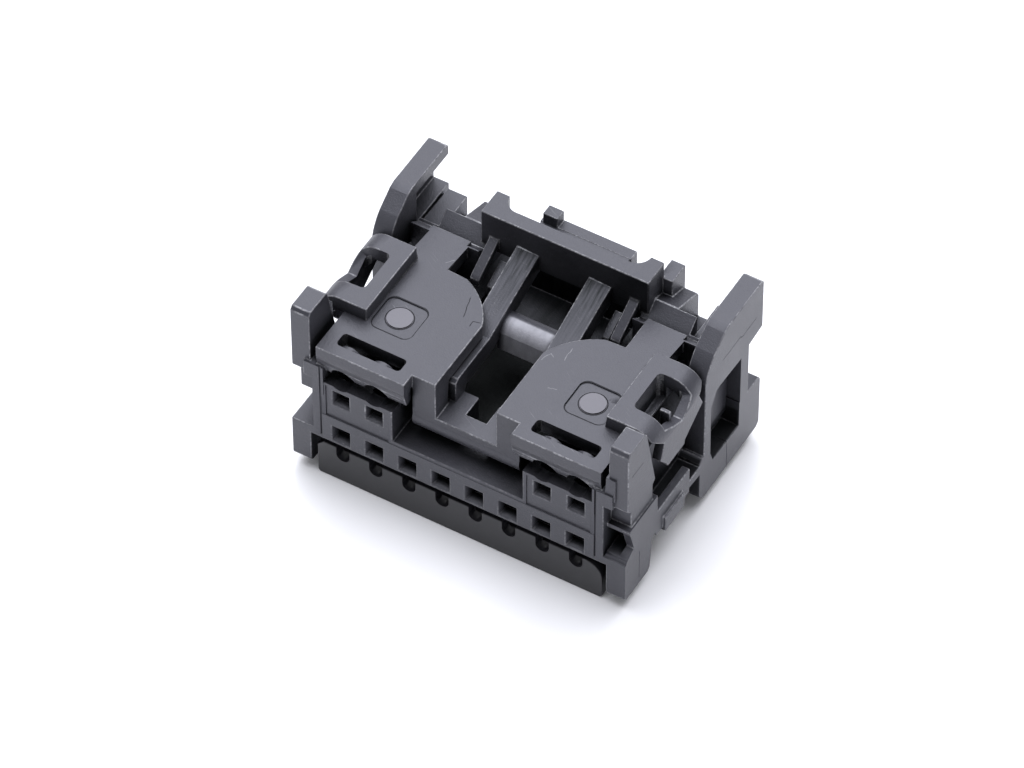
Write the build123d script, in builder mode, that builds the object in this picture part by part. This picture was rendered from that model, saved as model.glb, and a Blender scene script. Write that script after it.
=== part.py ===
"""Twelve-way wire plug: a moulded housing with its latch, and the retainer that locks the terminals."""
from build123d import *
import math
import os

# Terminal grid
pitch = 1.8                # between neighbouring ways
row_rise = 2.46            # from the lower row up to the upper row
low_ways = 8               # ways in the lower row
high_ways = 2              # upper ways on each side of the latch
port_w = 1.0               # mating port, width
port_h = 1.04              # mating port, height
port_lead = 0.35           # depth of a port's lead-in
port_taper = 22            # slope of the lead-in, degrees
panel_t = 0.6              # front panel in front of the cavities
cavity_w = 1.35            # terminal cavity, width
cavity_h = 1.45            # terminal cavity, height
entry_grow = 0.2           # wire entry, added to the cavity's width and height
entry_d = 1.2              # depth of the wire entry
low_sill = 2.2             # lower edge of the lower ports, above the feet

# Terminal block
end_wall = 0.6             # beside the outermost ways
block_d = 12.4             # front face to rear face
low_roof = 0.77            # above the lower ports
high_roof = 0.38           # above the upper ports
skirt_under = 0.13         # front panel, below the lower ports
floor_t = 0.45             # below the lower cavities
rear_under = 1.0           # underside of the rear part, above the feet
parting = 3.82             # step across the front face, above the feet
step_in = 0.03             # front face above the step, set back
panel_in = 0.05            # sunk panels in front of the upper row, behind that
panel_border = 0.2
panel_lip = 0.15           # above the sunk panels
groove_x = 7.32            # upright groove at the end of the front face
groove_w = 0.1
groove_d = 0.06
groove_low = 2.3

# Sides
side_gap = 0.17            # between the block and the wings and feet
side_t = 1.03              # wings, feet and ears
foot_d = 2.34              # front foot, front to rear
shelf_t = 0.5              # floor of the side channel
rim_t = 0.42               # outer wall of the side channel
rim_low = 1.8
rim_top = 3.45
rim_front = 2.9            # rim, front end
rim_rear = 6.0             # rim, rear end
rib_out = 0.15             # rib that stands out of the rim
rib_low = 1.6
rail_front = 6.96          # rear rail, front end
rail_rear = 12.7           # rear rail, rear end
rail_top = 1.85            # its outer wall
lip_top = 2.95             # lip at its front end
lip_d = 0.85
ledge_top = 2.6            # ledge beside the rail
pad_top = 3.45             # pad under the rear post of an ear
key_top = 4.6              # top of the keyed wall on the right
key_step = 2.8             # top of the right foot, under the keyed wall
key_back = 1.4             # rear of the pocket in the keyed wall
key_t = 0.25

# Hood over the block
deck_top = 8.24            # upper face of the two decks
deck_t = 0.8
deck_in = 1.62             # inner edge of a deck, from the middle
deck_front = 0.1           # front edge of a deck
deck_out = 7.6             # outer edge of a deck
deck_relief = 0.45         # thickness left where a deck passes over an arm
skirt_end = 6.6            # lower edge of the front skirt
pillar_out = 2.86          # outer side of a front pillar
pillar_front = 0.85        # front face of the pillars
pillar_rear = 2.0
apron_rear = 2.97          # rear of the apron, where the arms rise
apron_notch = 0.54         # half width of the notch in the apron
apron_notch_front = 1.8
apron_low = 4.5            # front wall between the pillars, lower edge
apron_top = 5.9            # front wall between the pillars, upper edge
slot_x = 5.19              # slot in a deck, from the middle
slot_w = 3.42              # slot in a deck, along the row
slot_front = 0.72
slot_rear = 1.52
slot_r = 0.2
tunnel_r = 0.62            # arched tunnel over an upper way
tunnel_top = 7.2
boss_r = 0.72              # arched boss inside the slot
boss_d = 0.45
mark_r = 0.62              # ejector mark
mark_x = 5.17
mark_y = 3.6
mark_deep = 0.06

# Guards at the sides of the hood
guard_top = 9.0
guard_t = 0.5              # thickness of its side wall
guard_in = 6.4             # inner edge of the raised band
guard_front = 2.65
guard_rear = 7.2
guard_low = 5.8            # lower edge of its side wall
window_front = 3.74
window_rear = 6.18
window_in = 7.17
window_sill = 7.55
window_r = 0.25
lug_in = 8.1               # lug in the right window, inner side
lug_y = 4.7
lug_t = 0.2
lug_top = 8.5
guard_bend = 1.15          # outer radius where the band turns down

# Wings and ears
wing_top = 10.15
wing_low = 6.0
wing_d = 1.85              # front to rear at the top
wing_foot_d = 2.66         # front to rear at the bottom
bracket_in = 7.2           # bracket between a wing and the block
bracket_d = 0.75
bracket_low = 5.2
bracket_top = 7.03
bracket_arch = 6.1         # its underside beside the block
badge_out = 8.36           # thin raised plate on the right wing
badge_low = 6.65
badge_top = 8.1
ear_top = 10.1
ear_front = 9.15
ear_rear = 12.75
ear_low = 6.6
ear_rear_low = 6.9
leg_front = 7.35
leg_t = 0.6
leg_top = 5.86
post_front = 10.73
post_rear = 11.5

# Rear block
hump_front = 8.8
rear_top = 7.74
ridge_top = 8.4            # low ridge across the rear block
notch_in = 5.76            # notch at the rear, inner side
notch_out = 6.77           # notch at the rear, outer side
hump_in = 4.75
post_x = 4.65              # upright at the rear on the right, from the middle
post_w = 0.75
post_top = 9.15
bridge_half = 2.45         # rear bridge behind the thumb bar
bridge_t = 0.6
bridge_top = 8.68
bridge_low = 7.95
bridge_leg = 0.4
rear_sill = 5.83
rear_sill_t = 0.7

# Latch
arm_root = 2.22            # front face of the arms, above the apron
arm_in = 1.34
arm_w = 1.2
arm_level = 7.3            # top of the arms in their level front part
arm_t = 1.1
arm_bend = 5.3             # where the arms start to rise
arm_rise = 1.45            # rise from the bend to the thumb bar
bar_front = 9.85
bar_half = 4.5
bar_top = 10.05
bar_low = 7.7
bar_t = 0.75
bar_end_d = 1.48
bar_end_w = 0.7
cross_front = 6.1          # locking crossbar between the arms
cross_d = 1.4
cross_t = 1.5
side_rib_x = 3.78          # short rib in front of the thumb bar's ends
side_rib_w = 0.5
side_rib_front = 8.0
side_rib_level = 7.6
side_rib_rise = 1.05
side_rib_t = 0.55
guide_in = 2.9             # upright guide beside an arm
guide_t = 0.4
guide_front = 8.3
guide_rear = 9.6
guide_top = 6.98

# Retainer
retainer_half = 7.7
retainer_back = 0.12       # its face behind the housing's face
retainer_t = 0.6
retainer_drop = 0.6        # below the feet before it is pushed home
retainer_gap = 0.42        # below the front panel before it is pushed home
retainer_r = 0.95          # upper corner on the right
retainer_corner = 0.35     # upper corner on the left
retainer_edge = 0.12       # rounding along its lower corners
notch_w = 0.72
notch_d = 0.8
base_half = 6.9
base_low = 0.5             # underside of its base, above the feet
base_t = 0.5
base_rear = 4.8
tooth_w = 0.8
tooth_d = 1.0
tooth_front = 3.5
tooth_h = 0.85
clearance = 0.12

block_half = low_ways * pitch / 2 + end_wall
wing_in = block_half + side_gap
outer = wing_in + side_t
panel_low = low_sill - skirt_under
low_top = low_sill + port_h + low_roof
high_top = low_sill + row_rise + port_h + high_roof
high_in = (low_ways / 2 - high_ways) * pitch - 0.1
low_mid = low_sill + port_h / 2
high_mid = low_mid + row_rise
under_front = low_mid - cavity_h / 2 - floor_t
shelf_top = panel_low + shelf_t
port_in = port_lead * math.tan(math.radians(port_taper))
plate_room = retainer_back + retainer_t + clearance
low_x = [(i - (low_ways - 1) / 2) * pitch for i in range(low_ways)]
high_x = [x for x in low_x if abs(x) > high_in]
front_y = -ear_rear / 2


def across(y):
    """Plane facing forward at y behind the front face: sketch x is X, sketch y is Z."""
    return Plane(origin=(0, front_y + y, retainer_drop), x_dir=(1, 0, 0), z_dir=(0, -1, 0))


def side(x):
    """Plane facing right at x: sketch x is the distance behind the front face, sketch y is Z."""
    return Plane(origin=(x, front_y, retainer_drop), x_dir=(0, 1, 0), z_dir=(1, 0, 0))


def level(z):
    """Plane facing up at z above the feet: sketch y is the distance behind the front face."""
    return Plane(origin=(0, front_y, retainer_drop + z), z_dir=(0, 0, 1))


def block(x0, x1, y0, y1, z0, z1, mode=Mode.ADD):
    """A rectangular block between two corners, y measured behind the front face."""
    with BuildSketch(level(z0)) as base:
        with Locations(((x0 + x1) / 2, (y0 + y1) / 2)):
            Rectangle(x1 - x0, y1 - y0)
    extrude(base.sketch, amount=z1 - z0, mode=mode)


def slab(x0, x1, points, mode=Mode.ADD):
    """A straight-sided profile seen from the side, given as (y, z), between two x."""
    with BuildSketch(side(x0)) as profile:
        with BuildLine():
            Polyline(*points, close=True)
        make_face()
    extrude(profile.sketch, amount=x1 - x0, mode=mode)


arm_top_rear = arm_level + arm_rise

with BuildPart() as half:
    # Terminal block with its raised upper row
    block(0, block_half, 0, block_d, under_front, low_top)
    block(high_in, block_half, 0, block_d, low_top, high_top)
    block(0, block_half, base_rear + clearance, block_d, rear_under, under_front)
    block(0, wing_in, -1, plate_room, 0, panel_low, mode=Mode.SUBTRACT)

    # Side channel floor, foot, rim and rear rail
    block(block_half - 1, outer, 0, rail_front + 0.3, panel_low, shelf_top)
    block(block_half - 1, wing_in + 0.05, rail_front, rail_rear - 0.3, rail_top - 0.3, ledge_top)
    with BuildSketch(side(wing_in)):
        with BuildLine():
            Polyline((0, 0.15), (0.15, 0), (foot_d - 0.2, 0), (foot_d, 0.2), (foot_d + 0.25, panel_low),
                     (foot_d + 0.25, shelf_top), (0.3, shelf_top), (0, panel_low + 0.12), close=True)
        make_face()
    extrude(amount=side_t)
    block(outer - rim_t, outer, rim_front, rim_rear, rim_low, rim_top)
    block(outer - rim_t, outer + rib_out, rim_front + 0.6, rim_rear - 0.7, rib_low, shelf_top)
    with BuildSketch(side(block_half - 1)):
        with BuildLine():
            ThreePointArc((rail_front, 0.6), (rail_front + 0.18, 0.18), (rail_front + 0.6, 0))
            Polyline((rail_front + 0.6, 0), (rail_rear - 0.2, 0), (rail_rear, 0.2), (rail_rear, pad_top - 0.2),
                     (rail_rear - 0.2, pad_top), (post_front - 0.05, pad_top), (post_front - 0.05, rail_top),
                     (rail_front + lip_d + 0.4, rail_top), (rail_front + lip_d, lip_top),
                     (rail_front + 0.25, lip_top), (rail_front, lip_top - 0.25), (rail_front, 0.6))
        make_face()
    extrude(amount=outer - block_half + 1)

    # Deck with its rounded inner corner and the skirt that rolls down in front
    with BuildSketch(level(deck_top)):
        with BuildLine():
            Line((deck_in, pillar_front), (deck_in, 5.13))
            ThreePointArc((deck_in, 5.13), (2.35, 6.3), (3.71, 7.27))
            Polyline((3.71, 7.27), (hump_in, 7.33), (hump_in, 9.4), (6.85, 9.4), (6.85, guard_rear + 0.4),
                     (deck_out, guard_rear), (deck_out, deck_front), (pillar_out, deck_front),
                     (pillar_out, pillar_front), (deck_in, pillar_front))
        make_face()
    extrude(amount=-deck_t)
    with BuildSketch(side(pillar_out)):
        with BuildLine():
            Line((deck_front, deck_top), (deck_front, deck_top - 0.35))
            ThreePointArc((deck_front, deck_top - 0.35), (deck_front + 0.05, 7.2),
                          (deck_front + 0.25, skirt_end))
            Polyline((deck_front + 0.25, skirt_end), (slot_front, skirt_end), (slot_front, deck_top),
                     (deck_front, deck_top))
        make_face()
    extrude(amount=deck_out - pillar_out)

    # Front pillar and the apron between the pillars
    for x0, x1, top, rear in ((deck_in, pillar_out, deck_top, pillar_rear),
                              (0, deck_in, apron_top, apron_rear)):
        with BuildSketch(side(x0)):
            with BuildLine():
                Line((pillar_front, top), (pillar_front, apron_top - 0.35))
                ThreePointArc((pillar_front, apron_top - 0.35), (pillar_front + 0.12, apron_low + 0.25),
                              (pillar_front + 0.45, apron_low))
                Polyline((pillar_front + 0.45, apron_low), (rear, apron_low), (rear, top),
                         (pillar_front, top))
            make_face()
        extrude(amount=x1 - x0)
    block(deck_in, arm_in + arm_w, pillar_rear, apron_rear, apron_low, apron_top)
    block(0, apron_notch, apron_notch_front, apron_rear + 1, apron_low - 0.4, apron_top + 1, mode=Mode.SUBTRACT)

    # Slot in the deck with two arched bosses, and the tunnels under them
    with BuildSketch(level(skirt_end - 1)):
        with Locations((slot_x, (slot_front + slot_rear) / 2)):
            RectangleRounded(slot_w, slot_rear - slot_front, slot_r)
    extrude(amount=deck_top - skirt_end + 2, mode=Mode.SUBTRACT)
    for x in [x for x in high_x if x > 0]:
        with BuildSketch(across(slot_front - 0.1)):
            with Locations((x, deck_top - 0.25 - boss_r)):
                Circle(boss_r)
        extrude(amount=-boss_d)
        with BuildSketch(across(deck_front - 0.5)):
            with Locations((x, tunnel_top - tunnel_r)):
                Circle(tunnel_r)
            with Locations((x, (high_top + tunnel_top - tunnel_r) / 2)):
                Rectangle(2 * tunnel_r, tunnel_top - tunnel_r - high_top)
        extrude(amount=-slot_rear - 1, mode=Mode.SUBTRACT)

    # Ejector mark
    with BuildSketch(level(deck_top)):
        with Locations((mark_x, mark_y)):
            RectangleRounded(2.2, 2.1, 0.45)
            Circle(mark_r, mode=Mode.SUBTRACT)
    extrude(amount=-mark_deep, mode=Mode.SUBTRACT)

    # Guard that arches from the deck over to the side wall
    with BuildSketch(across(guard_front)):
        with BuildLine():
            Polyline((guard_in, deck_top - deck_t + 0.1), (guard_in, guard_top),
                     (outer - guard_bend, guard_top))
            ThreePointArc((outer - guard_bend, guard_top),
                          (outer - guard_bend * 0.293, guard_top - guard_bend * 0.293),
                          (outer, guard_top - guard_bend))
            Polyline((outer, guard_top - guard_bend), (outer, guard_low), (outer - guard_t, guard_low),
                     (outer - guard_t, 7.55), (outer - 1.0, deck_top - 0.1), (deck_out, deck_top - 0.1),
                     (deck_out, deck_top - deck_t + 0.1), (guard_in, deck_top - deck_t + 0.1))
        make_face()
    extrude(amount=guard_front - guard_rear)
    with BuildSketch(level(window_sill)):
        with Locations(((window_in + outer - guard_t) / 2, (window_front + window_rear) / 2)):
            RectangleRounded(outer - guard_t - window_in, window_rear - window_front, window_r)
    extrude(amount=guard_top - window_sill + 1, mode=Mode.SUBTRACT)

    # Outline of the guard's side wall: a dip under the window, slanted ends and lower corners
    slab(outer - guard_t - window_r, outer + 1, [(window_front, 8.35), (5.2, 7.69), (window_rear, 8.35),
                                                 (window_rear, guard_top + 1), (window_front, guard_top + 1)],
         mode=Mode.SUBTRACT)
    slab(outer - guard_t - 0.2, outer + 1, [(guard_front - 1, guard_low - 1), (3.87, guard_low - 1),
                                            (3.87, guard_low + 0.14), (3.2, 6.76), (3.54, 7.7),
                                            (guard_front, 8.5), (guard_front - 1, 8.5)], mode=Mode.SUBTRACT)
    slab(outer - guard_t - 0.2, outer + 1, [(5.44, guard_low - 1), (5.44, guard_low + 0.24), (7.09, 7.08),
                                            (6.75, 7.85), (guard_rear, 8.4), (guard_rear + 1, 8.4),
                                            (guard_rear + 1, guard_low - 1)], mode=Mode.SUBTRACT)

    # Wing, the block below it and the bracket that ties both to the terminal block
    slab(wing_in, outer, [(0.18, wing_low + 0.2), (0.18, wing_top - 0.2), (0.35, wing_top),
                          (wing_d - 0.15, wing_top), (wing_d, wing_top - 0.15), (wing_foot_d, wing_low + 0.15),
                          (wing_foot_d - 0.15, wing_low), (0.38, wing_low)])
    block(block_half - 0.5, outer - 0.12, 0.72, wing_foot_d, 4.28, wing_low + 0.2)
    block(bracket_in, block_half, 0, bracket_d, bracket_low, bracket_top)
    block(block_half - 0.1, wing_in + 0.3, 0, bracket_d, bracket_arch, bracket_top)

    # Ear with its leg and rear post
    with BuildSketch(side(wing_in)):
        with BuildLine():
            Line((leg_front, lip_top - 0.3), (leg_front, 7.9))
            ThreePointArc((leg_front, 7.9), (7.6, 8.68), (8.13, 9.34))
            Polyline((8.13, 9.34), (ear_front - 0.1, 9.97), (ear_front + 0.3, ear_top),
                     (ear_rear - 0.15, ear_top), (ear_rear, ear_top - 0.15), (ear_rear, ear_rear_low),
                     (post_rear, ear_low + 0.15),
                     (post_rear, pad_top - 0.2), (post_front, pad_top - 0.2), (post_front, ear_low),
                     (8.5, ear_low), (leg_front + leg_t, leg_top), (leg_front + leg_t, lip_top - 0.3),
                     (leg_front, lip_top - 0.3))
        make_face()
    extrude(amount=side_t)

    # Rear block behind the decks
    slab(hump_in - 0.6, block_half, [(9.0, high_top - 0.5), (9.0, deck_top), (hump_front + 0.25, deck_top),
                                     (9.63, rear_top), (10.5, ridge_top), (block_d - 0.1, rear_top),
                                     (block_d, rear_top - 0.15), (block_d, high_top - 0.5)])
    block(notch_in, notch_out, 10.5, block_d + 1, high_top, ridge_top + 1, mode=Mode.SUBTRACT)
    block(notch_out, block_half + 1, 9.8, block_d + 1, rear_top - 0.35, ridge_top + 1, mode=Mode.SUBTRACT)
    block(block_half - 0.5, wing_in + 0.3, 9.2, block_d - 0.2, shelf_top, rear_top - 0.6)
    block(0, hump_in, block_d - rear_sill_t, block_d, low_top - 0.5, rear_sill)
    block(0, bridge_half, block_d - bridge_t, block_d, bridge_low, bridge_top)
    block(bridge_half - bridge_leg, bridge_half, block_d - bridge_t, block_d, rear_sill - 0.5, bridge_top)

    # Latch arm, short outer rib, guide, crossbar and half of the thumb bar
    block(0, arm_in + arm_w + clearance, arm_bend, 7.2, deck_top - deck_t - 0.1, deck_top - deck_relief,
          mode=Mode.SUBTRACT)
    slab(arm_in, arm_in + arm_w, [(arm_root, apron_top - 0.1), (arm_root, arm_level - 0.2),
                                  (arm_root + 0.2, arm_level), (arm_bend, arm_level),
                                  (bar_front + 0.1, arm_top_rear), (bar_front + 0.1, arm_top_rear - arm_t),
                                  (arm_bend, arm_level - arm_t), (apron_rear + 0.2, arm_level - arm_t),
                                  (apron_rear, apron_top - 0.1)])
    slab(side_rib_x - side_rib_w / 2, side_rib_x + side_rib_w / 2,
         [(side_rib_front, side_rib_level - side_rib_t), (side_rib_front, side_rib_level - 0.15),
          (side_rib_front + 0.15, side_rib_level), (bar_front + 0.1, side_rib_level + side_rib_rise),
          (bar_front + 0.1, side_rib_level + side_rib_rise - side_rib_t)])
    slab(guide_in, guide_in + guide_t, [(guide_front, low_top - 0.1), (guide_front, guide_top),
                                        (guide_rear, guide_top + 0.6), (guide_rear, low_top - 0.1)])
    with BuildSketch(side(0)):
        with BuildLine():
            Polyline((cross_front + cross_d, arm_level - 0.2), (cross_front + cross_d, arm_level - cross_t),
                     (cross_front, arm_level - cross_t), (cross_front + 0.1, arm_level - 0.45))
            ThreePointArc((cross_front + 0.1, arm_level - 0.45), (cross_front + 0.45, arm_level - 0.02),
                          (cross_front + cross_d, arm_level - 0.2))
        make_face()
    extrude(amount=arm_in + 0.1)
    with BuildSketch(level(bar_low)):
        with BuildLine():
            Polyline((0, bar_front), (bar_half, bar_front), (bar_half, bar_front + bar_end_d),
                     (bar_half - bar_end_w, bar_front + bar_end_d))
            ThreePointArc((bar_half - bar_end_w, bar_front + bar_end_d),
                          (bar_half - bar_end_w - 0.25, bar_front + bar_t + 0.2),
                          (bar_half - bar_end_w - 0.9, bar_front + bar_t))
            Polyline((bar_half - bar_end_w - 0.9, bar_front + bar_t), (0, bar_front + bar_t), (0, bar_front))
        make_face()
    extrude(amount=bar_top - bar_low)

    # Step, sunk panel and groove in the front face
    block(0, groove_x + groove_w, -1, step_in, parting, bracket_low, mode=Mode.SUBTRACT)
    block(0, bracket_in, -1, step_in, bracket_low, high_top, mode=Mode.SUBTRACT)
    block(high_in + panel_border, bracket_in - groove_w, -1, step_in + panel_in, parting, high_top - panel_lip,
          mode=Mode.SUBTRACT)
    block(groove_x, groove_x + groove_w, -1, groove_d, groove_low, bracket_top, mode=Mode.SUBTRACT)

with BuildPart() as housing:
    add(half.part)
    mirror(about=Plane.YZ)

    # Keyed wall with its pocket, and the higher foot under it, on the right side only
    slab(outer - rim_t, outer, [(0.15, panel_low), (0.15, key_step - 0.08), (0.79, 3.1), (0.39, key_top - 0.1),
                                (0.49, key_top), (rim_front + 0.1, key_top), (rim_front + 0.1, panel_low)])
    slab(wing_in - 0.1, outer, [(0.1, panel_low), (0.1, key_step - 0.15), (0.25, key_step),
                                (key_back + 0.1, key_step), (key_back + 0.1, panel_low)])
    block(block_half - 0.1, outer, 0.4, key_back + key_t, key_top - key_t, key_top)
    block(block_half - 0.1, outer, key_back, key_back + key_t, shelf_top - 0.1, key_top)

    # Raised plate on the wing, lug in the guard's window and rear upright, on the right side only
    block(wing_in - 0.1, badge_out, 0.08, bracket_d, badge_low, badge_top)
    block(lug_in, outer - guard_t + 0.1, lug_y - lug_t / 2, lug_y + lug_t / 2, window_sill - 0.1, lug_top)
    block(post_x - post_w / 2, post_x + post_w / 2, 11.2, block_d, high_top - 0.5, post_top)

    # Raised end of the rear bridge on the left side only
    block(-bridge_half + 0.15, -bridge_half + 0.95, block_d - bridge_t, block_d, bridge_top - 0.2,
          bridge_top + 0.6)

    # Ports, cavities and wire entries
    for xs, mid in ((low_x, low_mid), (high_x, high_mid)):
        with BuildSketch(across(0)):
            with Locations(*[(x, mid) for x in xs]):
                Rectangle(port_w, port_h)
        extrude(amount=-port_lead, taper=port_taper, mode=Mode.SUBTRACT)
        with BuildSketch(across(0)):
            with Locations(*[(x, mid) for x in xs]):
                Rectangle(port_w - 2 * port_in, port_h - 2 * port_in)
        extrude(amount=-panel_t, mode=Mode.SUBTRACT)
        with BuildSketch(across(panel_t)):
            with Locations(*[(x, mid) for x in xs]):
                Rectangle(cavity_w, cavity_h)
        extrude(amount=panel_t - block_d - 1, mode=Mode.SUBTRACT)
        with BuildSketch(across(block_d - entry_d)):
            with Locations(*[(x, mid) for x in xs]):
                Rectangle(cavity_w + entry_grow, cavity_h + entry_grow)
        extrude(amount=-entry_d - 1, mode=Mode.SUBTRACT)

    # Windows in the cavity floors for the retainer's teeth
    for x in low_x:
        block(x - tooth_w / 2 - clearance, x + tooth_w / 2 + clearance, tooth_front - clearance,
              tooth_front + tooth_d + clearance, under_front - 0.5, low_mid, mode=Mode.SUBTRACT)

with BuildPart() as retainer:
    plate_top = panel_low - retainer_gap
    plate_low = -retainer_drop
    left = -retainer_half
    right = retainer_half
    with BuildSketch(across(retainer_back)):
        with BuildLine():
            Polyline((left + retainer_edge, plate_low), (left, plate_low + retainer_edge),
                     (left, plate_top - retainer_corner), (left + retainer_corner, plate_top),
                     (right - retainer_r, plate_top))
            RadiusArc((right - retainer_r, plate_top), (right, plate_top - retainer_r), retainer_r)
            Polyline((right, plate_top - retainer_r), (right, plate_low + retainer_edge),
                     (right - retainer_edge, plate_low), (left + retainer_edge, plate_low))
        make_face()
        with Locations(*[(x, plate_top - notch_d + notch_w / 2) for x in low_x]):
            Circle(notch_w / 2, mode=Mode.SUBTRACT)
        with Locations(*[(x, plate_top) for x in low_x]):
            Rectangle(notch_w, 2 * (notch_d - notch_w / 2), mode=Mode.SUBTRACT)
    extrude(amount=-retainer_t)
    block(-base_half, base_half, retainer_back + retainer_t - 0.1, base_rear - clearance, base_low,
          base_low + base_t)
    for x in low_x:
        block(x - tooth_w / 2, x + tooth_w / 2, tooth_front, tooth_front + tooth_d, base_low + base_t - 0.1,
              base_low + base_t + tooth_h)

housing.part.label = "housing"
retainer.part.label = "retainer"

os.makedirs("parts", exist_ok=True)
export_step(housing.part, "parts/housing.step")
export_step(retainer.part, "parts/retainer.step")
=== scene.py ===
"""Wire plug housing and its terminal retainer, in charcoal moulded plastic on a white table."""
import bpy
import bmesh
import math
from mathutils import Matrix, Vector


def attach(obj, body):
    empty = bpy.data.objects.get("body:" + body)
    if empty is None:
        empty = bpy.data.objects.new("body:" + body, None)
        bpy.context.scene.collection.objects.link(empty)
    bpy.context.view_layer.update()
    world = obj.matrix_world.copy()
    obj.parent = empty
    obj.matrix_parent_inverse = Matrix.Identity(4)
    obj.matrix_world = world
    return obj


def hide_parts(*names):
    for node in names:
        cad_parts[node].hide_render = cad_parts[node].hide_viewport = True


MM = 0.001

# View, as the photograph has it
AZIMUTH = math.radians(30.62)
ELEVATION = math.radians(48.89)
ROLL = math.radians(-0.19)
LENS = 250.3                                   # mm
SENSOR = 36                                    # mm
DISTANCE = 0.33368
AIM = Vector((-0.00089, 0.00017, 0.00375))     # point in the middle of the picture

# Rounded edges of the mouldings
FLAT = math.radians(0.5)                       # faces that meet at a smaller angle are made one
SHARP = math.radians(28)                       # edges that meet at a larger angle are rounded
EDGE_ROUND = 0.05 * MM
RETAINER_ROUND = 0.04 * MM
ROUND_STEPS = 3
CREASE = math.radians(32)                      # a sharper edge keeps its line in the shading
BROAD = 0.2 * MM                               # area over outline, from which a face is shaded flat
NARROW = 0.02 * MM                             # area over outline, under which a face is a rounded edge
SHORTEST = 0.12 * MM                           # a shorter edge isn't rounded
MERGE = 0.002 * MM                             # corners closer than this are made one
TURNED_OVER = -1e-11                           # m2, twice the area of a triangle, below 0 when turned over

# Places on the housing
FEET = 0.6 * MM                                # underside of the feet, above the table
FRONT = -6.375 * MM                            # front face, from the middle
DECK = FEET + 8.24 * MM                        # top of the decks, above the table

# Ejector pin mark on each deck, and the rounded square round it
MARK_X = 5.17 * MM
MARK_Y = FRONT + 3.6 * MM
MARK_RADIUS = 0.68 * MM
MARK_HALF = 1.08 * MM
MARK_CORNER = 0.42 * MM

# Points in the tables below are X from the middle, behind the front face and above the feet, in mm

# Blocks of space that get painted shade, or on the front panel fewer worn and lit edges: two corners, the
# same on both sides of the middle
OPEN = -1.0                                    # low X of a block that reaches over the middle
WELL_FLOOR = 3.9                               # a little under the floor between the latch arms
BLOCKS = {
    "front_panel": ((OPEN, -1.0, -0.6), (7.2, 0.6, 5.1)),
    "latch_arm": ((1.3, 3.2, 5.9), (2.58, 9.84, 8.84)),
    "apron_notch": ((OPEN, 1.7, WELL_FLOOR), (0.6, 3.2, 5.85)),
    "well_front": ((OPEN, 3.0, WELL_FLOOR), (4.6, 9.3, 5.4)),
    "well_rear": ((OPEN, 8.9, WELL_FLOOR), (4.6, 12.2, 6.5)),
    "thumb_bar_face": ((OPEN, 9.7, 7.5), (4.6, 9.99, 10.0)),
    "side_channel": ((7.75, 2.9, 0.3), (8.96, 12.4, 2.9)),
    "ledge_under_deck": ((2.7, 0.4, 5.95), (7.2, 3.3, 7.42)),
}

# Upper limit of the streaks and painted shade on the latch arms, which keeps them off the decks
ARM_TOP = 7.45                                 # above the level part
ARM_BEND = 5.3                                 # behind the front face, where the arms start to rise
ARM_SLOPE = 0.32

# Small block under the thumb bar, which closes the gap behind it
BRIDGE_FRONT = ((-2.4, 11.45, 8.0), (2.4, 11.9, 8.66))

# Fine marks: both ends, the view that shows them, width in mm, and whether they are on both sides
SIDEWAYS = (0.05, 1, 1)                        # how much each axis counts, seen along X
DOWN = (1, 1, 0.05)                            # and seen from above
HAIRLINES = {
    "ear_parting_front": ((9.0, 8.9, 8.2), (9.0, 10.6, 8.2), SIDEWAYS, 0.035, True),
    "ear_parting_step": ((9.0, 10.6, 8.2), (9.0, 10.75, 8.05), SIDEWAYS, 0.035, True),
    "ear_parting_rear": ((9.0, 10.75, 8.05), (9.0, 12.1, 8.05), SIDEWAYS, 0.035, True),
    "wing_parting": ((9.0, 0.5, 8.4), (9.0, 1.5, 8.4), SIDEWAYS, 0.04, True),
    "rail_parting": ((9.0, 9.55, 0.1), (9.0, 9.5, 2.0), SIDEWAYS, 0.04, True),
    "foot_parting": ((9.0, 1.3, 0.5), (9.0, 1.3, 2.3), SIDEWAYS, 0.035, True),
    "deck_corner_out": ((-2.66, 5.16, 8.24), (-2.98, 6.31, 8.24), DOWN, 0.018, False),
    "deck_corner_end": ((-2.12, 4.79, 8.24), (-2.13, 5.11, 8.24), DOWN, 0.018, False),
    "deck_corner_in": ((-2.13, 5.11, 8.24), (-1.78, 5.21, 8.24), DOWN, 0.018, False),
}
SCRATCHES = {
    "right_deck_long": ((1.8, 4.7, 8.24), (1.95, 5.2, 8.24), DOWN, 0.026, False),
    "right_deck_hook": ((1.95, 5.2, 8.24), (2.2, 5.1, 8.24), DOWN, 0.022, False),
    "right_deck_short": ((2.7, 5.25, 8.24), (2.64, 6.0, 8.24), DOWN, 0.024, False),
    "right_deck_low": ((2.9, 3.3, 8.24), (3.3, 3.5, 8.24), DOWN, 0.02, False),
    "left_deck_rear": ((-5.1, 7.6, 8.24), (-4.8, 7.9, 8.24), DOWN, 0.02, False),
}

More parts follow.
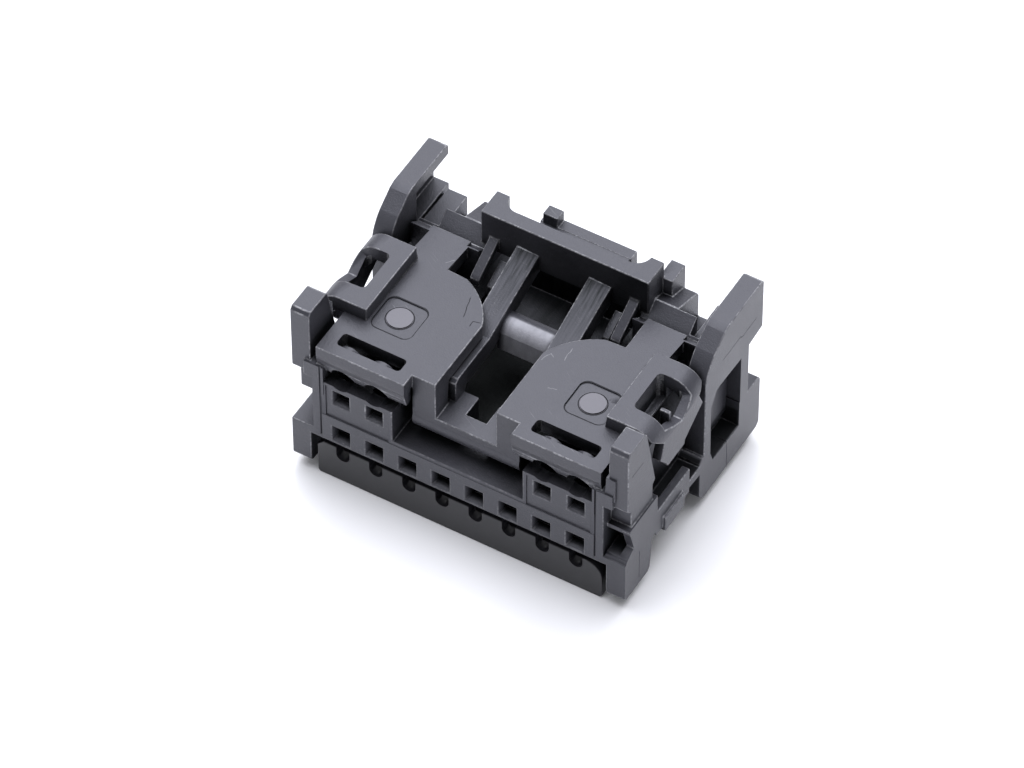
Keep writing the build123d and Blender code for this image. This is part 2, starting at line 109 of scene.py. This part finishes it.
# Charcoal plastic
CHARCOAL_DARK = (0.038, 0.038, 0.046, 1)
CHARCOAL_PALE = (0.050, 0.050, 0.059, 1)
# Pale worn edges, also a painted highlight along the rounded edges
WORN_AND_LIT_EDGE = (0.30, 0.30, 0.315, 1)
SCRATCHED = (0.24, 0.24, 0.255, 1)
# Painted light on the crossbar's faces
CROSSBAR_PAINTED_LIGHT = (0.30, 0.30, 0.33, 1)
EJECTOR_DISC = (0.125, 0.12, 0.135, 1)
PARTING_LINE = (0.008, 0.008, 0.01, 1)
# Painted shade in recesses and shaded places
PAINTED_SHADE = (0.009, 0.010, 0.0095, 1)
COOL_GLOSS = (0.91, 0.92, 1.0, 1)
CHARCOAL_ROUGHNESS = (0.34, 0.42)              # least and most
EDGE_POLISH = 0.06                             # taken from the roughness where an edge is worn
DISC_POLISH = 0.05                             # and on an ejector mark
LINE_MATT = 0.3                                # added to the roughness in a parting line
DISC_GRAIN = 0.4                               # share of the grain left on an ejector mark
LINE_DEPTH = 2.5                               # depth of a parting line, in heights of the grain
CHARCOAL_GRAIN = 0.02 * MM                     # height of the grain

# Black plastic
BLACK_DARK = (0.011, 0.011, 0.014, 1)
BLACK_PALE = (0.015, 0.015, 0.018, 1)
# Pale worn edges of the retainer, also a painted highlight
BLACK_WORN_AND_LIT = (0.09, 0.09, 0.10, 1)
BLACK_SCRATCHED = (0.08, 0.08, 0.09, 1)
BLACK_ROUGHNESS = (0.30, 0.36)                 # least and most
BLACK_GRAIN = 0.004 * MM                       # height of the grain

# Light and table
SKY = (0.96, 0.97, 1.0, 1)
SKY_STRENGTH = 0.45
TABLE_WHITE = (0.93, 0.93, 0.95, 1)

# Sockets of a mix node for colours, by number, because several share a name
MIX_FACTOR = 0
MIX_FIRST = 6
MIX_SECOND = 7
MIX_RESULT = 2

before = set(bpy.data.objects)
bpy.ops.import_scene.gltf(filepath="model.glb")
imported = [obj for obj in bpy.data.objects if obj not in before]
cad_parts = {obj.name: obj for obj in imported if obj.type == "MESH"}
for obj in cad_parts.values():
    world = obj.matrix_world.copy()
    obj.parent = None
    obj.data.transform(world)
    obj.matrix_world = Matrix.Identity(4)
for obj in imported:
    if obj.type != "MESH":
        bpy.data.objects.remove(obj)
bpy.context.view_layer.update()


def on_housing(x, behind, above):
    """A point of the tables, in metres."""
    return x * MM, FRONT + behind * MM, FEET + above * MM


# Camera and light

def place_camera():
    """The camera looks at AIM from the front, the right and above."""
    right = Vector((math.cos(AZIMUTH), math.sin(AZIMUTH), 0))
    back = Vector((math.sin(AZIMUTH) * math.cos(ELEVATION), -math.cos(AZIMUTH) * math.cos(ELEVATION),
                   math.sin(ELEVATION)))
    up = back.cross(right)
    turned_right = right * math.cos(ROLL) + up * math.sin(ROLL)
    turned_up = up * math.cos(ROLL) - right * math.sin(ROLL)
    turn = Matrix((turned_right, turned_up, back)).transposed().to_4x4()
    data = bpy.data.cameras.new("camera")
    data.lens = LENS
    data.sensor_width = SENSOR
    data.clip_start = 0.01
    data.clip_end = 10
    camera = bpy.data.objects.new("camera", data)
    camera.matrix_world = Matrix.Translation(AIM + back * DISTANCE) @ turn
    bpy.context.scene.collection.objects.link(camera)
    bpy.context.scene.camera = camera


def soft_box(name, azimuth, elevation, distance, size, radiance, tint):
    """A soft box seen from the part at this azimuth (from +X towards +Y) and elevation, in degrees."""
    azimuth = math.radians(azimuth)
    elevation = math.radians(elevation)
    place = distance * Vector((math.cos(azimuth) * math.cos(elevation),
                               math.sin(azimuth) * math.cos(elevation), math.sin(elevation)))
    data = bpy.data.lights.new(name, "AREA")
    data.shape = "RECTANGLE"
    data.size, data.size_y = size
    data.energy = radiance * size[0] * size[1] * math.pi
    data.color = tint
    light = bpy.data.objects.new(name, data)
    light.matrix_world = Matrix.Translation(place) @ (-place).to_track_quat("-Z", "Y").to_matrix().to_4x4()
    bpy.context.scene.collection.objects.link(light)


def light_studio():
    world = bpy.data.worlds.new("studio")
    bpy.context.scene.world = world
    world.use_nodes = True
    background = world.node_tree.nodes["Background"]
    background.inputs["Color"].default_value = SKY
    background.inputs["Strength"].default_value = SKY_STRENGTH
    soft_box("overhead_box", azimuth=121, elevation=70, distance=0.5, size=(0.7, 0.7), radiance=3.8,
             tint=(0.94, 0.95, 1.0))
    bpy.context.scene.view_settings.view_transform = "Standard"
    bpy.context.scene.view_settings.look = "None"


# Shader building blocks

class Shading:
    """Nodes of one material or node group, joined by their values."""

    def __init__(self, tree):
        self.tree = tree

    def node(self, kind, settings=None, **inputs):
        made = self.tree.nodes.new(kind)
        for name, value in (settings or {}).items():
            setattr(made, name, value)
        for name, value in inputs.items():
            self.feed(value, made.inputs[name.replace("_", " ")])
        return made

    def feed(self, value, socket):
        if isinstance(value, bpy.types.NodeSocket):
            self.tree.links.new(value, socket)
        else:
            socket.default_value = value

    def maths(self, operation, *values, clamp=False):
        made = self.tree.nodes.new("ShaderNodeMath")
        made.operation = operation
        made.use_clamp = clamp
        for value, socket in zip(values, made.inputs):
            self.feed(value, socket)
        return made.outputs["Value"]

    def ramp(self, value, low, high, to_low=0.0, to_high=1.0):
        made = self.node("ShaderNodeMapRange", Value=value)
        for name, number in (("From Min", low), ("From Max", high), ("To Min", to_low), ("To Max", to_high)):
            self.feed(number, made.inputs[name])
        return made.outputs["Result"]

    def mix(self, factor, first, second):
        made = self.tree.nodes.new("ShaderNodeMix")
        made.data_type = "RGBA"
        self.feed(factor, made.inputs[MIX_FACTOR])
        self.feed(first, made.inputs[MIX_FIRST])
        self.feed(second, made.inputs[MIX_SECOND])
        return made.outputs[MIX_RESULT]

    def vector(self, operation, first, second):
        made = self.node("ShaderNodeVectorMath", {"operation": operation})
        self.feed(first, made.inputs[0])
        self.feed(second, made.inputs[1])
        return made.outputs["Value" if operation == "DOT_PRODUCT" else "Vector"]

    def scaled(self, vector, factor):
        made = self.node("ShaderNodeVectorMath", {"operation": "SCALE"}, Scale=factor)
        self.feed(vector, made.inputs[0])
        return made.outputs["Vector"]

    def parts(self, vector):
        return self.node("ShaderNodeSeparateXYZ", Vector=vector).outputs

    def stretched(self, vector, across, along, up):
        """The vector with each part divided by a length, for noise that is longer one way."""
        parts = self.parts(vector)
        return self.node("ShaderNodeCombineXYZ", X=self.maths("DIVIDE", parts["X"], across),
                         Y=self.maths("DIVIDE", parts["Y"], along),
                         Z=self.maths("DIVIDE", parts["Z"], up)).outputs["Vector"]

    def inside(self, block, soft):
        """1 inside one of BLOCKS and its mirror image, 0 outside, and in between over this length."""
        parts = self.parts(self.place())
        low, high = (on_housing(*corner) for corner in BLOCKS[block])
        within = 1.0
        for axis, least, most in zip("XYZ", low, high):
            value = self.maths("ABSOLUTE", parts["X"]) if axis == "X" else parts[axis]
            depth = self.maths("MINIMUM", self.maths("SUBTRACT", value, least),
                               self.maths("SUBTRACT", most, value))
            within = self.maths("MULTIPLY", within, self.ramp(depth, 0.0, soft))
        return within

    def noise(self, vector, scale, detail, roughness=0.5):
        return self.node("ShaderNodeTexNoise", Vector=vector, Scale=scale, Detail=detail,
                         Roughness=roughness).outputs["Fac"]

    def place(self):
        """The place in the part's own frame."""
        return self.node("ShaderNodeTexCoord").outputs["Object"]


def new_group(name, inputs, outputs):
    """An empty shader node group with number or vector inputs and number outputs."""
    tree = bpy.data.node_groups.new(name, "ShaderNodeTree")
    for socket, value in inputs.items():
        kind = "NodeSocketVector" if isinstance(value, tuple) else "NodeSocketFloat"
        tree.interface.new_socket(socket, in_out="INPUT", socket_type=kind).default_value = value
    for socket in outputs:
        tree.interface.new_socket(socket, in_out="OUTPUT", socket_type="NodeSocketFloat")
    given = tree.nodes.new("NodeGroupInput").outputs
    result = tree.nodes.new("NodeGroupOutput").inputs
    return tree, Shading(tree), given, result


# Node groups of the plastics

def spark_grain():
    """Fine texture of a spark-eroded mould, and the slow change of gloss over it."""
    tree, make, given, result = new_group("spark_grain", {"Grain": 0.07 * MM, "Patch": 2.6 * MM},
                                          ("Height", "Patches"))
    place = make.place()
    fine = make.noise(place, make.maths("DIVIDE", 1.0, given["Grain"]), 2.0, 0.65)
    coarse = make.noise(place, make.maths("DIVIDE", 0.35, given["Grain"]), 1.0)
    make.feed(make.maths("ADD", make.maths("MULTIPLY", fine, 0.7), make.maths("MULTIPLY", coarse, 0.3)),
              result["Height"])
    slow = make.noise(place, make.maths("DIVIDE", 1.0, given["Patch"]), 4.0, 0.55)
    make.feed(make.ramp(slow, 0.32, 0.68), result["Patches"])
    return tree


def edge_wear_and_highlight():
    """Rounded edges of a moulding, worn in places by handling and painted pale as highlights, and less round
    the ports.
    """
    tree, make, given, result = new_group("edge_wear_and_highlight", {"Break Up": 0.8}, ("Edge",))
    near = make.node("ShaderNodeAttribute", {"attribute_name": "rounded_edge"}).outputs["Fac"]
    long_patches = make.ramp(make.noise(make.place(), 1 / (0.5 * MM), 3.0), 0.35, 0.6)
    short_patches = make.ramp(make.noise(make.place(), 1 / (0.13 * MM), 2.0), 0.38, 0.56)
    spared = make.maths("SUBTRACT", 1.0, make.maths("MULTIPLY", long_patches, short_patches))
    broken = make.maths("SUBTRACT", 1.0, make.maths("MULTIPLY", given["Break Up"], spared))
    panel = make.inside("front_panel", 0.05 * MM)
    broken = make.maths("MULTIPLY", broken, make.ramp(panel, 0.0, 1.0, 1.0, 0.4))
    make.feed(make.maths("MULTIPLY", near, broken), result["Edge"])
    return tree


def fine_scuffs():
    """Short pale scratches in one direction, in a few patches."""
    tree, make, given, result = new_group("fine_scuffs", {"Turn": 0.5, "Length": 1.4 * MM, "Width": 0.05 * MM,
                                                          "Amount": 0.5}, ("Scuff",))
    turned = make.node("ShaderNodeVectorRotate", {"rotation_type": "Z_AXIS"}, Vector=make.place(),
                       Angle=given["Turn"]).outputs["Vector"]
    stretched = make.stretched(turned, given["Length"], given["Width"], given["Width"])
    lines = make.ramp(make.noise(stretched, 1.0, 1.0), 0.66, 0.76)
    where = make.ramp(make.noise(make.place(), 1 / (1.9 * MM), 2.0), 0.52, 0.62)
    make.feed(make.maths("MULTIPLY", make.maths("MULTIPLY", lines, where), given["Amount"]), result["Scuff"])
    return tree


def length_of(make, across, along):
    """Length of a flat vector from its two parts."""
    return make.maths("SQRT", make.maths("ADD", make.maths("MULTIPLY", across, across),
                                         make.maths("MULTIPLY", along, along)))


def ejector_mark():
    """Round mark of an ejector pin and the rounded square round it, on each deck."""
    tree, make, given, result = new_group("ejector_mark", {"Side": MARK_X, "Behind": MARK_Y,
                                                           "Radius": MARK_RADIUS, "Half": MARK_HALF,
                                                           "Corner": MARK_CORNER,
                                                           "Line": 0.03 * MM, "Above": DECK - 0.2 * MM},
                                          ("Disc", "Line"))
    parts = make.parts(make.place())
    on_deck = make.maths("GREATER_THAN", parts["Z"], given["Above"])
    across = make.maths("SUBTRACT", make.maths("ABSOLUTE", parts["X"]), given["Side"])
    along = make.maths("SUBTRACT", parts["Y"], given["Behind"])
    far = length_of(make, across, along)
    inside = make.ramp(make.maths("DIVIDE", far, given["Radius"]), 1.0, 0.95)
    straight = make.maths("SUBTRACT", given["Half"], given["Corner"])
    past = [make.maths("MAXIMUM", make.maths("SUBTRACT", make.maths("ABSOLUTE", side), straight), 0.0)
            for side in (across, along)]
    to_square = make.maths("SUBTRACT", length_of(make, *past), given["Corner"])
    to_ring = make.maths("SUBTRACT", far, given["Radius"])
    nearest = make.maths("MINIMUM", make.maths("ABSOLUTE", to_square), make.maths("ABSOLUTE", to_ring))
    line = make.ramp(make.maths("DIVIDE", nearest, given["Line"]), 1.0, 0.3)
    make.feed(make.maths("MULTIPLY", inside, on_deck), result["Disc"])
    make.feed(make.maths("MULTIPLY", line, on_deck), result["Line"])
    return tree


def painted_corner_shade():
    """Painted shade in recesses: how far a place lies inside a recess, counted less above the decks."""
    tree, make, given, result = new_group("painted_corner_shade", {"Reach": 3.0 * MM, "From": 0.60, "To": 0.22},
                                          ("Corner Shade",))
    open_sky = make.node("ShaderNodeAmbientOcclusion", {"samples": 6}, Distance=given["Reach"]).outputs["AO"]
    shut_in = make.ramp(open_sky, given["From"], given["To"])
    low_down = make.ramp(make.parts(make.place())["Z"], DECK + 0.5 * MM, DECK, 0.3, 1.0)
    make.feed(make.maths("MULTIPLY", shut_in, low_down), result["Corner Shade"])
    return tree


def latch_well_shade():
    """Painted shade in the well between the latch arms, streaked and paler on its left at the rear."""
    tree, make, given, result = new_group("latch_well_shade", {"Front": 0.985, "Rear": 0.93, "Rear Left": 0.72,
                                                         "Streak": 0.35 * MM}, ("Shade",))
    front = make.maths("MAXIMUM", make.inside("well_front", 0.06 * MM), make.inside("apron_notch", 0.1 * MM))
    stretched = make.stretched(make.place(), given["Streak"], 2.5 * MM, 2.5 * MM)
    streaks = make.ramp(make.noise(stretched, 1.0, 2.0), 0.3, 0.7, 0.75, 1.0)
    rear = make.maths("MULTIPLY", make.inside("well_rear", 0.06 * MM), streaks)
    side = make.parts(make.place())["X"]
    rear = make.maths("MULTIPLY", rear, make.ramp(side, -3.4 * MM, -1.2 * MM, given["Rear Left"], 1.0))
    make.feed(make.maths("MAXIMUM", make.maths("MULTIPLY", front, given["Front"]),
                         make.maths("MULTIPLY", rear, given["Rear"])), result["Shade"])
    return tree


def painted_side_shade():
    """Painted shade in the side channels, on the ledges under the decks and on the face of the thumb bar."""
    tree, make, given, result = new_group("painted_side_shade", {"Recess": 0.744, "Bar Left": 0.093,
                                                           "Bar Right": 0.6045}, ("Shade",))
    recess = make.maths("MAXIMUM", make.inside("side_channel", 0.06 * MM),
                        make.inside("ledge_under_deck", 0.15 * MM))
    side = make.parts(make.place())["X"]
    along_bar = make.ramp(side, -4.5 * MM, 3.0 * MM, given["Bar Left"], given["Bar Right"])
    bar = make.maths("MULTIPLY", make.inside("thumb_bar_face", 0.05 * MM), along_bar)
    make.feed(make.maths("MAXIMUM", make.maths("MULTIPLY", recess, given["Recess"]), bar), result["Shade"])
    return tree


def arm_streaks_and_shade():
    """Dark streaks along the latch arms with painted shade, denser towards the thumb bar and kept off the
    decks above.
    """
    tree, make, given, result = new_group("arm_streaks_and_shade", {"Streak": 0.11 * MM, "Front": 0.3, "Rear": 1.15},
                                          ("Shade",))
    parts = make.parts(make.place())
    past_bend = make.maths("MAXIMUM", make.maths("SUBTRACT", parts["Y"], FRONT + ARM_BEND * MM), 0.0)
    arm_top = make.maths("ADD", make.maths("MULTIPLY", past_bend, ARM_SLOPE), FEET + ARM_TOP * MM)
    arm = make.maths("MULTIPLY", make.inside("latch_arm", 0.05 * MM),
                     make.maths("GREATER_THAN", arm_top, parts["Z"]))
    stretched = make.stretched(make.place(), given["Streak"], 3.0 * MM, 0.5 * MM)
    streaks = make.ramp(make.noise(stretched, 1.0, 3.0), 0.35, 0.65, 0.5, 1.0)
    shade_towards_bar = make.ramp(parts["Y"], FRONT + 5.5 * MM, FRONT + 9.8 * MM, given["Front"], given["Rear"])
    make.feed(make.maths("MULTIPLY", arm, make.maths("MULTIPLY", streaks, shade_towards_bar)), result["Shade"])
    return tree


def thin_line():
    """A thin, slightly wavering line from one point to another; Keep flattens the axis it is seen along."""
    tree, make, given, result = new_group("thin_line", {"From": (0.0, 0.0, 0.0), "To": (0.0, 0.0, 0.0),
                                                        "Keep": (1.0, 1.0, 1.0), "Width": 0.04 * MM,
                                                        "Mirror": 0.0, "Waver": 0.08 * MM}, ("Line",))
    place = make.place()
    waver = make.node("ShaderNodeTexNoise", Vector=place, Scale=1 / (0.4 * MM)).outputs["Color"]
    waver = make.scaled(make.vector("SUBTRACT", waver, (0.5, 0.5, 0.5)), given["Waver"])
    parts = make.parts(make.vector("ADD", place, waver))
    side = make.ramp(given["Mirror"], 0.0, 1.0, parts["X"], make.maths("ABSOLUTE", parts["X"]))
    place = make.node("ShaderNodeCombineXYZ", X=side, Y=parts["Y"], Z=parts["Z"]).outputs["Vector"]
    place, start, end = (make.vector("MULTIPLY", point, given["Keep"])
                         for point in (place, given["From"], given["To"]))
    whole = make.vector("SUBTRACT", end, start)
    part = make.vector("SUBTRACT", place, start)
    along = make.maths("DIVIDE", make.vector("DOT_PRODUCT", part, whole),
                       make.vector("DOT_PRODUCT", whole, whole), clamp=True)
    off = make.vector("SUBTRACT", part, make.scaled(whole, along))
    distance = make.maths("SQRT", make.vector("DOT_PRODUCT", off, off))
    make.feed(make.ramp(make.maths("DIVIDE", distance, given["Width"]), 1.0, 0.35), result["Line"])
    return tree


def crossbar_painted_light():
    """Painted light on the faces of the crossbar, pale with streaks from top to bottom."""
    limits = {"Half Width": 1.3 * MM, "Front": FRONT + 5.9 * MM, "Rear": FRONT + 7.0 * MM,
              "Low": FEET + 5.2 * MM, "Streak": 0.34 * MM}
    tree, make, given, result = new_group("crossbar_painted_light", limits, ("Painted Light",))
    parts = make.parts(make.place())
    across = make.maths("DIVIDE", make.maths("ABSOLUTE", parts["X"]), given["Half Width"])
    inside = make.ramp(across, 1.0, 0.8)
    for limit, sign in ((given["Front"], 1.0), (given["Rear"], -1.0)):
        depth = make.maths("MULTIPLY", make.maths("SUBTRACT", parts["Y"], limit), sign)
        inside = make.maths("MULTIPLY", inside, make.ramp(depth, 0.0, 0.1 * MM))
    inside = make.maths("MULTIPLY", inside, make.maths("GREATER_THAN", parts["Z"], given["Low"]))
    stretched = make.stretched(make.place(), given["Streak"], 0.6 * MM, 1.2 * MM)
    streaks = make.ramp(make.noise(stretched, 1.0, 3.0), 0.35, 0.65, 0.75, 1.0)
    make.feed(make.maths("MULTIPLY", inside, streaks), result["Painted Light"])
    return tree


# Materials and the table

def new_material(name):
    material = bpy.data.materials.new(name)
    material.use_nodes = True
    material.node_tree.nodes.clear()
    return material, Shading(material.node_tree)


def group_of(make, tree, **inputs):
    return make.node("ShaderNodeGroup", {"node_tree": tree}, **inputs).outputs


def finish_material(make, **inputs):
    shader = make.node("ShaderNodeBsdfPrincipled", **inputs)
    output = make.node("ShaderNodeOutputMaterial")
    make.feed(shader.outputs["BSDF"], output.inputs["Surface"])


GRAIN = spark_grain()
EDGE_WEAR_AND_HIGHLIGHT = edge_wear_and_highlight()
SCUFFS = fine_scuffs()
MARK = ejector_mark()
CORNER_SHADE = painted_corner_shade()
CROSSBAR_LIGHT = crossbar_painted_light()
WELL_SHADE = latch_well_shade()
SIDE_SHADE = painted_side_shade()
ARM_STREAKS_AND_SHADE = arm_streaks_and_shade()
LINE = thin_line()


def all_lines(make, marks, waver):
    """The fine marks of one table together."""
    total = 0.0
    for start, end, keep, width, mirrored in marks.values():
        line = group_of(make, LINE, From=on_housing(*start), To=on_housing(*end), Keep=keep, Width=width * MM,
                        Mirror=float(mirrored), Waver=waver)
        total = make.maths("MAXIMUM", total, line["Line"])
    return total


def moulded_charcoal():
    material, make = new_material("moulded_charcoal")
    grain = group_of(make, GRAIN)
    # Worn edges, painted pale also as highlight
    edge = group_of(make, EDGE_WEAR_AND_HIGHLIGHT)["Edge"]
    scuff = make.maths("MAXIMUM", group_of(make, SCUFFS)["Scuff"], all_lines(make, SCRATCHES, 0.35 * MM))
    # Painted light on the crossbar
    crossbar_light = group_of(make, CROSSBAR_LIGHT)["Painted Light"]
    mark = group_of(make, MARK)
    disc = mark["Disc"]
    partings = make.maths("MULTIPLY", all_lines(make, HAIRLINES, 0.06 * MM), 0.8)
    line = make.maths("MAXIMUM", mark["Line"], partings)
    # Painted shade: recesses, the latch well, side channels, ledges, thumb bar face and latch arms
    painted_shade = make.maths("MAXIMUM", group_of(make, CORNER_SHADE)["Corner Shade"], group_of(make, ARM_STREAKS_AND_SHADE)["Shade"])
    painted_shade = make.maths("MAXIMUM", make.maths("MULTIPLY", painted_shade, 0.85), group_of(make, WELL_SHADE)["Shade"])
    painted_shade = make.maths("MAXIMUM", painted_shade, group_of(make, SIDE_SHADE)["Shade"])
    colour = make.mix(grain["Patches"], CHARCOAL_DARK, CHARCOAL_PALE)
    # Each of these marks lies over the ones before it; the edges carry painted highlight, the crossbar
    # painted light, the last painted shade
    for mask, strength, over in ((edge, 0.85, WORN_AND_LIT_EDGE), (scuff, 0.7, SCRATCHED), (crossbar_light, 0.9, CROSSBAR_PAINTED_LIGHT),
                                 (disc, 0.8, EJECTOR_DISC), (line, 0.85, PARTING_LINE), (painted_shade, 0.95, PAINTED_SHADE)):
        colour = make.mix(make.maths("MULTIPLY", mask, strength), colour, over)
    roughness = make.ramp(grain["Patches"], 0.0, 1.0, *CHARCOAL_ROUGHNESS)
    roughness = make.maths("SUBTRACT", roughness, make.maths("MULTIPLY", edge, EDGE_POLISH))
    roughness = make.maths("SUBTRACT", roughness, make.maths("MULTIPLY", disc, DISC_POLISH))
    roughness = make.maths("ADD", roughness, make.maths("MULTIPLY", line, LINE_MATT))
    height = make.maths("MULTIPLY", grain["Height"], make.ramp(disc, 0.0, 1.0, 1.0, DISC_GRAIN))
    height = make.maths("SUBTRACT", height, make.maths("MULTIPLY", line, LINE_DEPTH))
    bump = make.node("ShaderNodeBump", Strength=1.0, Distance=CHARCOAL_GRAIN, Height=height)
    # Painted shade, no metal: in the recesses Metallic with a near-black colour only takes the gloss of the
    # plastic away
    finish_material(make, Base_Color=colour, Metallic=painted_shade, Roughness=roughness,
                    Normal=bump.outputs["Normal"], Specular_Tint=COOL_GLOSS, IOR=1.5)
    return material


def smooth_black():
    material, make = new_material("smooth_black")
    grain = group_of(make, GRAIN, Grain=0.11 * MM, Patch=3.4 * MM)
    # Worn edges, painted pale also as highlight
    edge = group_of(make, EDGE_WEAR_AND_HIGHLIGHT)["Edge"]
    scuff = group_of(make, SCUFFS, Turn=0.1, Length=2.2 * MM, Amount=0.3)["Scuff"]
    colour = make.mix(grain["Patches"], BLACK_DARK, BLACK_PALE)
    colour = make.mix(make.maths("MULTIPLY", edge, 0.3), colour, BLACK_WORN_AND_LIT)
    colour = make.mix(make.maths("MULTIPLY", scuff, 0.5), colour, BLACK_SCRATCHED)
    roughness = make.ramp(grain["Patches"], 0.0, 1.0, *BLACK_ROUGHNESS)
    bump = make.node("ShaderNodeBump", Strength=0.35, Distance=BLACK_GRAIN, Height=grain["Height"])
    finish_material(make, Base_Color=colour, Roughness=roughness, Normal=bump.outputs["Normal"], IOR=1.48)
    return material


def white_table():
    material, make = new_material("white_table")
    finish_material(make, Base_Color=TABLE_WHITE, Roughness=0.3)
    return material


def make_table():
    form = bmesh.new()
    bmesh.ops.create_grid(form, x_segments=1, y_segments=1, size=2.0)
    mesh = bpy.data.meshes.new("table")
    form.to_mesh(mesh)
    form.free()
    mesh.materials.append(white_table())
    table = bpy.data.objects.new("table", mesh)
    bpy.context.scene.collection.objects.link(table)


# Mouldings with rounded edges

def folded_faces(form, number):
    """Numbers of the faces that the rounding turned over somewhere."""
    form.normal_update()
    folded = set()
    for loops in form.calc_loop_triangles():
        first, second, third = (loop.vert.co for loop in loops)
        face = loops[0].face
        if (second - first).cross(third - first).dot(face.normal) < TURNED_OVER:
            folded.add(face[number])
    return folded


def rounded(source, radius):
    """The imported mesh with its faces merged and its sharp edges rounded, where the faces leave room."""
    tight = set()
    while True:
        form = bmesh.new()
        form.from_mesh(source.data)
        bmesh.ops.remove_doubles(form, verts=form.verts, dist=MERGE)
        bmesh.ops.dissolve_limit(form, angle_limit=FLAT, verts=form.verts, edges=form.edges,
                                 use_dissolve_boundaries=False)
        number = form.faces.layers.int.new("number")
        for index, face in enumerate(form.faces):
            face[number] = index + 1
        crowded = {corner for edge in form.edges if edge.calc_length() < SHORTEST for corner in edge.verts}
        edges = [edge for edge in form.edges
                 if len(edge.link_faces) == 2 and edge.calc_face_angle() > SHARP
                 and not crowded.intersection(edge.verts)
                 and not any(face[number] in tight for face in edge.link_faces)]
        bmesh.ops.bevel(form, geom=edges, affect="EDGES", offset=radius, offset_type="OFFSET",
                        segments=ROUND_STEPS, profile=0.5, clamp_overlap=False, material=-1)
        folded = folded_faces(form, number)
        if folded <= tight:
            return form
        tight |= folded
        form.free()


def new_piece(name, form, material):
    """An object with this form, smooth but for its creases."""
    mesh = bpy.data.meshes.new(name)
    form.to_mesh(mesh)
    form.free()
    mesh.materials.append(material)
    mesh.shade_smooth()
    mesh.set_sharp_from_angle(angle=CREASE)
    piece = bpy.data.objects.new(name, mesh)
    bpy.context.scene.collection.objects.link(piece)
    return piece


def small_block(name, body, block, radius, material):
    """A small block of the moulding with rounded edges."""
    low, high = (Vector(on_housing(*corner)) for corner in block)
    form = bmesh.new()
    bmesh.ops.create_cube(form, size=1)
    bmesh.ops.scale(form, vec=high - low, verts=form.verts)
    bmesh.ops.translate(form, vec=(low + high) / 2, verts=form.verts)
    bmesh.ops.bevel(form, geom=form.edges, affect="EDGES", offset=radius, offset_type="OFFSET",
                    segments=ROUND_STEPS, profile=0.5, clamp_overlap=True, material=-1)
    piece = new_piece(name, form, material)
    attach(piece, body)


def moulding(name, radius, material):
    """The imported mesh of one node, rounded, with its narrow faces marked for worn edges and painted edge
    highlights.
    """
    piece = new_piece(name + "_moulding", rounded(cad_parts[name], radius), material)
    mesh = piece.data
    corners = [vertex.co for vertex in mesh.vertices]
    narrow = mesh.attributes.new("rounded_edge", "FLOAT", "FACE").data
    for face in mesh.polygons:
        outline = sum((corners[start] - corners[end]).length for start, end in face.edge_keys)
        face.use_smooth = face.area / outline < BROAD
        narrow[face.index].value = float(face.area / outline < NARROW)
    even = piece.modifiers.new("even_shading", "WEIGHTED_NORMAL")
    even.weight = 100
    even.keep_sharp = True
    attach(piece, name)
    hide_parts(name)


place_camera()
light_studio()
make_table()
charcoal = moulded_charcoal()
moulding("housing", EDGE_ROUND, charcoal)
small_block("bridge_front", "housing", BRIDGE_FRONT, EDGE_ROUND, charcoal)
moulding("retainer", RETAINER_ROUND, smooth_black())
